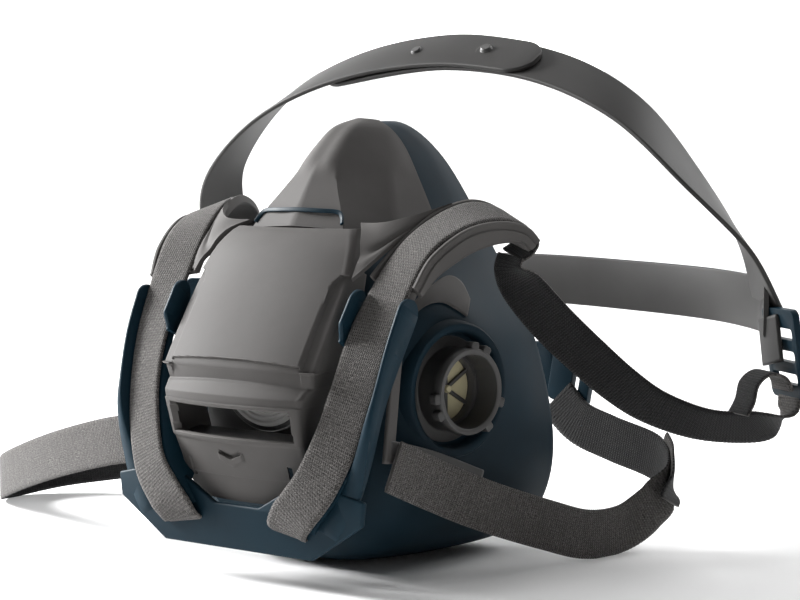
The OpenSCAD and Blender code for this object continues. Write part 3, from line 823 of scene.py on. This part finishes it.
def make_yoke():
    half = STRAP_W / 2 + 2.5

    def channel(t, sign):
        wall = 0.5
        skirt = 3.6 + 6 * math.sin(math.pi * min(1, 0.12 + 0.8 * t)) + 0.8 * smoothstep(0.8, 1, t)
        profile = [(half, skirt - 0.4), (half - 0.4, skirt), (half - 1.6, skirt), (half - 2, skirt - 0.4),
                   (half - 2, 3.6), (-half + 0.6, 3.6), (-half, 3.0), (-half, -wall + 0.4),
                   (-half + 0.4, -wall), (-half + 1.4, -wall), (-half + 1.8, -wall + 0.4),
                   (-half + 2, 1.6), (half - 2, 1.6), (half - 1.8, -wall + 0.4), (half - 1.4, -wall),
                   (half - 0.5, -wall), (half, -wall + 0.5), (half, 2.2), (half + 0.7, 2.6),
                   (half + 0.7, skirt - 1.4), (half, skirt - 1.0)]
        return [(sign * a, b) for a, b in profile]

    for name, sign in sides():
        arm = section_band("yoke_arm_" + name + "_shell", on_side(sign, ARM_ROWS),
                           lambda t, s=sign: channel(t, s), (GREY,), "root")
        sharpen(arm, 34)
        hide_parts("yoke_arm_" + name)
        flat = [[v for p in row for v in p] for row in SHOULDER_ROWS]
        grid = []
        for group in spline(flat, 10):
            row = spline([group[i:i + 3] for i in (0, 3, 6, 9)], 6)
            # a soft crease that runs along the web
            for k, p in enumerate(row):
                dip = 0.9 * math.exp(-((k / 18 - 0.62) / 0.1) ** 2)
                p[1] += dip
                p[2] -= dip * 0.5
            grid.append([[sign * p[0], p[1], p[2]] for p in row])

        def back(p, normal, s=sign):
            return Vector((-0.4 * s, 1.2, -1.4)) * MM

        web = add_object("yoke_web_" + name, grid_mesh("yoke_web_" + name, grid, None, 2.0, back), (GREY,),
                         "root")
        sharpen(web, 36)
        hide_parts("yoke_shoulder_" + name)
        rail = section_band("side_rail_" + name + "_bar", on_side(sign, RAIL_ROWS),
                            lambda t: rounded_section(5.6, 2.0, 0.7), (GREY,), "root")
        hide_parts("side_rail_" + name)
        hanger = section_band("strap_hanger_" + name + "_bar", on_side(sign, HANGER_ROWS),
                              lambda t: rounded_section(6, 2.0, 0.7), (DARK,), "root")
        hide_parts("strap_hanger_" + name)


def make_fins():
    corners = [[[49.9, -33.2, 86.1], [50.1, -34.7, 83.1], [50.2, -35.8, 80.1]],
               [[49, -25.4, 92.9], [50.2, -28.1, 90], [51.1, -30.4, 87.1]],
               [[47, -11.9, 98.1], [49.4, -16.3, 94.8], [51.5, -20.4, 91.5]],
               [[45.6, 1.5, 101.2], [49, -5, 96.6], [52.3, -11.4, 92.1]],
               [[48, 7.2, 98.6], [51.5, 0.3, 94], [54.8, -6.3, 89.5]],
               [[53, 6, 92.1], [55.4, 1.6, 89.2], [57.1, -2, 86.3]]]
    for name, sign in sides():
        flat = [[v for p in row for v in p] for row in corners]
        grid = []
        for group in spline(flat, 6):
            line = spline([group[i:i + 3] for i in (0, 3, 6)], 6)
            grid.append([[sign * p[0], p[1], p[2]] for p in line])
        mesh = grid_mesh("fin_" + name, grid, None, 1.8, lambda p, normal, s=sign: Vector((-1.4 * s, 0, -0.8)) * MM)
        obj = add_object("fin_plate_" + name, mesh, (GREY,), "root")
        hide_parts("side_fin_" + name)


# ------------------------------------------------------------------ latch
LATCH_FOOT = [[-36, 0], [36, 0], [59, 15], [60, 24], [34, 30], [20.5, 22.6], [11, 17], [-11, 17],
              [-20.5, 22.6], [-34, 30], [-60, 24], [-59, 15]]


def latch_section(t, sign):
    """The latch's side at a share t of its height: floor, inner wall, outer flange or wall."""
    rise = smoothstep(0.22, 0.6, t)
    outer = lerp(18.6, 11.4, smoothstep(0.1, 0.72, t)) - 5 * smoothstep(0.1, 0, t)
    fore = lerp(-2.4, 4.4, rise)
    rear = lerp(4.6, 8.0, smoothstep(0.5, 0.85, t))
    edge = -9.0
    deep = 3.5 + 8.5 * smoothstep(0.04, 0.14, t) * smoothstep(0.8, 0.66, t)
    section = [(edge, 1.8), (edge + 0.5, 1.3), (9.5, 1.3), (9.7, -fore + 0.4), (10.1, -fore),
               (outer - 0.5, -fore), (outer, -fore + 0.5), (outer, rear - 0.5), (outer - 0.5, rear),
               (outer - 1.6, rear), (outer - 2.1, rear - 0.5), (min(outer - 2.2, 10.5), 3.3),
               (edge + 1.8, 3.3), (edge + 1.8, deep), (edge, deep)]
    return [(sign * a, b) for a, b in section]


def tongue_section(t, sign, near, far, fore, rear):
    """A rounded tongue beside the strap, from across near to far, fore and rear of its line."""
    tip = math.sqrt(max(0.02, 1 - max(0.0, (t - 0.72) / 0.281) ** 2))
    start = smoothstep(0, 0.3, t)
    middle = (rear - fore) / 2
    front = middle + (-fore * lerp(0.3, 1, start) - middle) * tip
    back = middle + (rear - middle) * tip
    ends = ((near, front + 0.5), (near + 0.5, front), (far - 0.5, front), (far, front + 0.5),
            (far, back - 0.4), (far - 0.4, back), (near + 0.4, back), (near, back - 0.4))
    return [(sign * a, b) for a, b in ends]


def make_latch():
    turn = Matrix.Rotation(math.pi / 2, 4, "X")
    foot = block("latch_foot", LATCH_FOOT, 2.6, mm_matrix((0, -70, 0), turn), (TEAL,), "latch",
                 0.8)
    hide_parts("latch")
    path = [[27.4, -73.4, 11, 0.96, 0.02, -0.25]] + FRONT_ROWS[3:9]
    top = FRONT_ROWS[7:9] + [[53.9, -50.3, 97, 1, 0.02, -0.04]]
    for name, sign in sides():
        arm = section_band("latch_arm_" + name, on_side(sign, path), lambda t, s=sign: latch_section(t, s),
                           (TEAL,), "latch", 0.8)
        sharpen(arm, 46)
        for part, sizes in (("inner", (-11.4, -9.5, 6.4, 3.3)), ("outer", (9.7, 11.4, 4.4, 8.0))):
            tongue = section_band("latch_%s_tongue_%s" % (part, name), on_side(sign, top),
                                  lambda t, s=sign, v=sizes: tongue_section(t, s, *v), (TEAL,),
                                  "latch", 0.6)
            sharpen(tongue, 46)
        pin_place = mm_matrix((57.5, PIVOT.y, PIVOT.z), Matrix.Rotation(math.pi / 2, 4, "Y"))
        if sign < 0:
            pin_place = Matrix.Scale(-1, 4, (1, 0, 0)) @ pin_place
        pin = lathe("pivot_pin_" + name, [(0, 0), (2, 0), (2, 5.6), (1.6, 6.0), (0, 6.0)], pin_place,
                    (DARK,), "root", 40)
        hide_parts("latch_pin_" + name)


# ------------------------------------------------------------------ straps
FRONT_ROWS = [[25.6, -71.4, 8.6, 0.98, 0, -0.16], [26.2, -74.4, 10.6, 0.97, 0, -0.2],
              [29, -76, 15, 0.93, 0.03, -0.34], [33.5, -76.4, 20, 0.87, 0.05, -0.5],
              [41, -75.4, 30, 0.9, 0.1, -0.42], [47.3, -71.4, 46, 0.95, 0.14, -0.26],
              [50.8, -66.8, 62, 0.97, 0.16, -0.16], [52.5, -60.8, 78, 0.98, 0.12, -0.08],
              [53.5, -53.5, 91, 1, 0.03, -0.04], [57, -38, 112, 0.96, -0.22, -0.1],
              [62, -22, 122.5, 0.9, -0.33, -0.25], [67, -6, 126.5, 0.86, -0.36, -0.36],
              [71, 7, 124, 0.85, -0.4, -0.3], [72.5, 13, 118.5, 0.85, -0.45, -0.2]]
REAR_ROWS = [[69.6, 9, 109.5, 0.85, -0.45, -0.2], [69, 8.6, 104, 0.84, -0.3, 0.1],
             [72.5, 14, 96, 0.76, 0.1, 0.45], [79, 24, 83, 0.68, 0.2, 0.62],
             [87.2, 35.5, 70, 0.66, 0.12, 0.68], [96.5, 47, 57.5, 0.66, -0.02, 0.68],
             [105.8, 58, 48.2, 0.66, -0.16, 0.68], [120.7, 69, 41.6, 0.64, -0.3, 0.69],
             [135.7, 78, 40.4, 0.6, -0.36, 0.72], [145.6, 81.4, 42.6, 0.64, -0.42, 0.64],
             [150.2, 84.4, 46.6, 0.76, -0.54, 0.36], [151.0, 85.8, 53.5, 0.81, -0.59, 0]]
TAIL_ROWS = [[149, 83.6, 56, 0.81, -0.59, 0], [147.4, 81.6, 61, 0.81, -0.59, 0],
             [143.4, 76.2, 62.8, 0.81, -0.59, 0], [140.2, 71.8, 59, 0.81, -0.59, 0],
             [139, 70.4, 52, 0.81, -0.59, 0], [137.4, 68, 47, 0.81, -0.59, 0]]
NECK_LEFT_ROWS = [[61.6, -56.6, 35.4, 0, 0, -1], [66.5, -34, 25, 0, 0, -1], [74, -13, 15.5, 0, 0, -1],
                  [82, 16, 5, 0, 0, -1], [87.2, 38, -1.6, 0, 0, -1], [92, 58, -1.6, 0, 0, -1],
                  [97.4, 72, 5.6, 0, 0, -1], [99, 82, 14, 0, 0, -1], [88, 92, 22, 0, 0, -1],
                  [64.3, 97, 27.4, 0, 0, -1], [46.7, 98.4, 33, 0, 0, -1], [36, 98.6, 43, 0, 0, -1]]
NECK_RIGHT_ROWS = [[-61.6, -56.6, 35.4, 0, 0, 1], [-86, -53, 31, 0, 0, 1], [-125, -43, 21, 0, 0, 1],
                   [-165, -28, 9, 0, 0, 1], [-193, -12, 0, 0, 0, 1], [-201, 6, -2.2, 0, 0, 1],
                   [-190, 26, 1, 0, 0, 1], [-155, 50, 7, 0, 0, 1], [-105, 78, 19, 0, 0, 1],
                   [-50, 94, 37, 0, 0, 1], [8, 98.6, 52, 0, 0, 1]]
NECK_TAIL_ROWS = [[91, 91.6, 25.5, 0, 0, -1], [97, 87, 20.6, 0, 0, -1],
                  [101.6, 81, 14, 0, 0, -1], [102.5, 78, 7, 0, 0.2, -1]]


def make_straps():
    for name, sign in sides():
        front, length = strap("front_strap_" + name, on_side(sign, FRONT_ROWS), STRAP_W, None)
        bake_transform(front)
        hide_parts("front_strap_lower_" + name, "front_strap_upper_" + name)
        rear, length = strap("rear_strap_" + name + "_webbing", on_side(sign, REAR_ROWS), STRAP_W, None)
        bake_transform(rear)
        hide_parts("rear_strap_" + name)
        tail, length = strap("strap_tail_" + name + "_webbing", on_side(sign, TAIL_ROWS), STRAP_W - 2,
                             "harness")
        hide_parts("strap_tail_" + name)
        # where each strap turns round the bar under the arm's end
        turn = on_side(sign, [[71.6, 9.6, 120.4, 0.85, -0.43, -0.26], [73.6, 14.4, 116.4, 0.85, -0.45, -0.2],
                              [72.2, 13.2, 112.2, 0.85, -0.45, -0.2], [69.9, 10.2, 109.6, 0.85, -0.45, -0.2]])
        turn, length = strap("strap_turn_" + name, turn, STRAP_W - 0.4, "root")
    for name, rows in (("left", NECK_LEFT_ROWS), ("right", NECK_RIGHT_ROWS)):
        neck, length = strap("neck_strap_" + name + "_webbing", rows, NECK_W, "root")
        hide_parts("neck_strap_" + name)
    tail, length = strap("neck_strap_tail", NECK_TAIL_ROWS, NECK_W, "root")


# ------------------------------------------------------------------ head cradle
CROWN_HALF = [[137, 92, 88, -0.8, 0.6, 0.05], [133.5, 77, 112, -0.6, 0.78, 0.15],
              [118, 62, 138, -0.28, 0.9, 0.3], [88, 62, 166, -0.12, 0.88, 0.45],
              [48, 66, 183, -0.04, 0.83, 0.55], [0, 68, 189, 0, 0.8, 0.6]]
UPPER_REACH = [[-46, 66, 183.6, 0.04, 0.83, 0.55]]
LOWER_REACH = [[-50, 66, 182.6, 0.04, 0.83, 0.55], [-61, 65.4, 179, 0.06, 0.84, 0.52]]
BACK_HALF = [[141, 84, 87, 0, 0, 1], [131, 98, 88, 0, 0, 1], [98, 121, 89, 0, 0, 1],
             [50, 135, 90, 0, 0, 1], [0, 139, 91, 0, 0, 1]]


def shifted(rows, depth):
    return [list(c + d * depth) + list(r[3:6]) for r, (c, t, w, d) in zip(rows, frames_on(rows))]


def make_cradle():
    back = BACK_HALF + mirrored(BACK_HALF)[-2::-1]

    def flat_band(t):
        return rounded_section(BAND_W, BAND_T, 0.8)

    piece = section_band("cradle_back_band", back, flat_band, (CRADLE,), "harness")
    sharpen(piece, 40)
    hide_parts("head_cradle")
    dense = spline(CROWN_HALF + LOWER_REACH, 6)

    def rounded_end(t):
        width = BAND_W * math.sqrt(max(0.02, 1 - max(0.0, (t - 0.955) / 0.047) ** 2))
        return rounded_section(width, BAND_T, 0.8)

    lower = section_band("cradle_crown_lower", shifted(dense, -1.15), rounded_end, (CRADLE,),
                         "harness")
    upper = shifted(mirrored(spline(CROWN_HALF + UPPER_REACH, 6)), -3.4)
    upper = section_band("cradle_crown_upper", upper, rounded_end, (CRADLE,), "harness")
    for obj in (lower, upper):
        sharpen(obj, 40)
    for name, sign in sides():
        section_band("cradle_tab_" + name, on_side(sign, [[141.5, 85, 84, 0.81, -0.59, 0],
                                                          [145, 82.5, 66, 0.81, -0.59, 0]]),
                     lambda t: rounded_section(15, BAND_T, 0.7), (CRADLE,), "harness")


def make_studs():
    for k, x in enumerate((-15, 20)):
        turn = Matrix.Rotation(math.radians(37), 4, "X") @ Matrix.Rotation(math.radians(x * 0.32), 4, "Y")
        place = mm_matrix((x, 68, 188.4), turn)
        stud = lathe("crown_stud_%d" % k, [(0, 5.4), (1.9, 5.4), (2.4, 4.9), (2.6, 4.2), (3.0, 3.8), (4.6, 3.9),
                                           (5.2, 3.4), (5.4, 2.6), (0, 2.6)], place, (DARK,),
                     "harness", 48)
        if k == 0:
            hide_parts("crown_studs")


def make_buckles():
    for name, sign in sides():
        turn = Matrix.Rotation(math.radians(-36), 4, "Z") @ Matrix.Rotation(math.radians(9), 4, "X")
        place = mm_matrix((148.4, 83.4, 70), turn @ Matrix.Rotation(math.pi / 2, 4, "X"))
        place = place @ Matrix.Translation((0, 0, -2.8))
        if sign < 0:
            place = Matrix.Scale(-1, 4, (1, 0, 0)) @ place
        holes = [round_rect(19, 4.5, 1.2, 3, 0, z + 2.25) for z in (-12, -3, 6)]
        obj = block("buckle_" + name + "_ladder", round_rect(25, 36, 3, 5), 2.8, place, (TEAL,),
                    "harness", 0.5, holes)
        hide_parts("buckle_" + name)


def make_clasp():
    for name, x, z, pitch, length, turn in (("hook", 42, 52, 10, 20, 0), ("socket", 20.5, 54, 2, 21, 180)):
        spin = Matrix.Rotation(math.radians(turn), 4, "Z") @ Matrix.Rotation(math.radians(pitch), 4, "Y")
        place = mm_matrix((x, 103, z), spin @ Matrix.Rotation(math.pi / 2, 4, "X"))
        holes = [round_rect(3.5, NECK_W - 2, 1, 3, length / 2 - 7, 0)]
        obj = block("neck_clasp_" + name, round_rect(length, NECK_W + 4, 3, 5), 4, place, (TEAL,),
                    "root", 0.7, holes)
        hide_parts("clasp_" + name)


def make_bars():
    for name, sign in sides():
        turn = Matrix.Rotation(math.radians(-28), 4, "Z") @ Matrix.Rotation(math.radians(101.7), 4, "Y")
        place = mm_matrix((70.4, 10, 115.4), turn) @ Matrix.Translation((0, 0, -10))
        if sign < 0:
            place = Matrix.Scale(-1, 4, (1, 0, 0)) @ place
        bar = lathe("strap_bar_" + name + "_rod", [(0, 0), (1.3, 0), (1.6, 0.3), (1.6, 19.7), (1.3, 20), (0, 20)],
                    place, (GREY,), "root", 32)
        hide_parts("strap_bar_" + name)


# ------------------------------------------------------------------ stage
def make_stage():
    floor = bpy.data.meshes.new("floor")
    bm = bmesh.new()
    # a seamless floor that curves up behind the object
    size = 2.4
    rows = []
    for k in range(25):
        t = k / 24
        y = lerp(-2.0, 1.6, t)
        z = 0.0 if y < 1.2 else 0.25 * ((y - 1.2) / 0.4) ** 2
        rows.append([bm.verts.new((x * size, y, z)) for x in (-1, -0.5, 0, 0.5, 1)])
    for a, b in zip(rows, rows[1:]):
        for k in range(4):
            bm.faces.new((a[k], a[k + 1], b[k + 1], b[k]))
    bm.to_mesh(floor)
    bm.free()
    mat, tree, shader = new_material("floor_paper", 0.9, 0.0, 0.1)
    shader.inputs["Base Color"].default_value = (0.92, 0.92, 0.92, 1)
    floor.materials.append(mat)
    obj = bpy.data.objects.new("floor", floor)
    obj.rotation_euler = (0, 0, math.radians(36))
    bpy.context.scene.collection.objects.link(obj)
    # a bright screen behind the floor
    screen = bpy.data.meshes.new("screen")
    corners = [(-2.6, 1.62, -0.2), (2.6, 1.62, -0.2), (2.6, 1.62, 2.2), (-2.6, 1.62, 2.2)]
    screen.from_pydata(corners, [], [(0, 1, 2, 3)])
    glow, tree, shader = new_material("screen_white")
    shader.inputs["Emission Color"].default_value = (1, 1, 1, 1)
    shader.inputs["Emission Strength"].default_value = 1.05
    screen.materials.append(glow)
    obj = bpy.data.objects.new("screen", screen)
    obj.rotation_euler = (0, 0, math.radians(36))
    bpy.context.scene.collection.objects.link(obj)
    world_light = bpy.data.worlds.new("studio")
    world_light.use_nodes = True
    world_light.node_tree.nodes["Background"].inputs["Color"].default_value = (1, 1, 1, 1)
    world_light.node_tree.nodes["Background"].inputs["Strength"].default_value = 0.09
    bpy.context.scene.world = world_light
    for name, place, size, power in (("key", (-1.12, -0.3, 0.62), 0.45, 60.0),
                                     ("top", (-0.1, 0.1, 1.4), 0.8, 5.0),
                                     ("fill", (1.3, -0.3, 0.4), 0.9, 0.9),
                                     ("back", (0.7, 1.1, 1.0), 0.9, 15.0)):
        light = bpy.data.lights.new(name, "AREA")
        light.size = size
        light.energy = power
        lamp = bpy.data.objects.new(name, light)
        lamp.location = place
        aim = Vector((0.3, 0.25, 0) if name == "back" else (0, 0, 0.09)) - Vector(place)
        lamp.rotation_euler = aim.to_track_quat("-Z", "Y").to_euler()
        bpy.context.scene.collection.objects.link(lamp)


def make_camera():
    turn, tilt, distance = math.radians(36), math.radians(4.5), 0.8
    aim = world((14.8, 12.0, 89.5))
    back = Vector((math.sin(turn) * math.cos(tilt), -math.cos(turn) * math.cos(tilt), math.sin(tilt)))
    data = bpy.data.cameras.new("camera")
    data.lens = 89.5
    data.sensor_width = 36
    cam = bpy.data.objects.new("camera", data)
    cam.location = aim + back * distance
    cam.rotation_euler = (-back).to_track_quat("-Z", "Y").to_euler()
    bpy.context.scene.collection.objects.link(cam)
    bpy.context.scene.camera = cam
    scene = bpy.context.scene
    scene.view_settings.view_transform = "Standard"


make_camera()
make_facepiece()
make_ports()
make_exhalation()
make_cover()
make_nose()
make_yoke()
make_fins()
make_latch()
make_straps()
make_cradle()
make_studs()
make_buckles()
make_clasp()
make_bars()
make_stage()
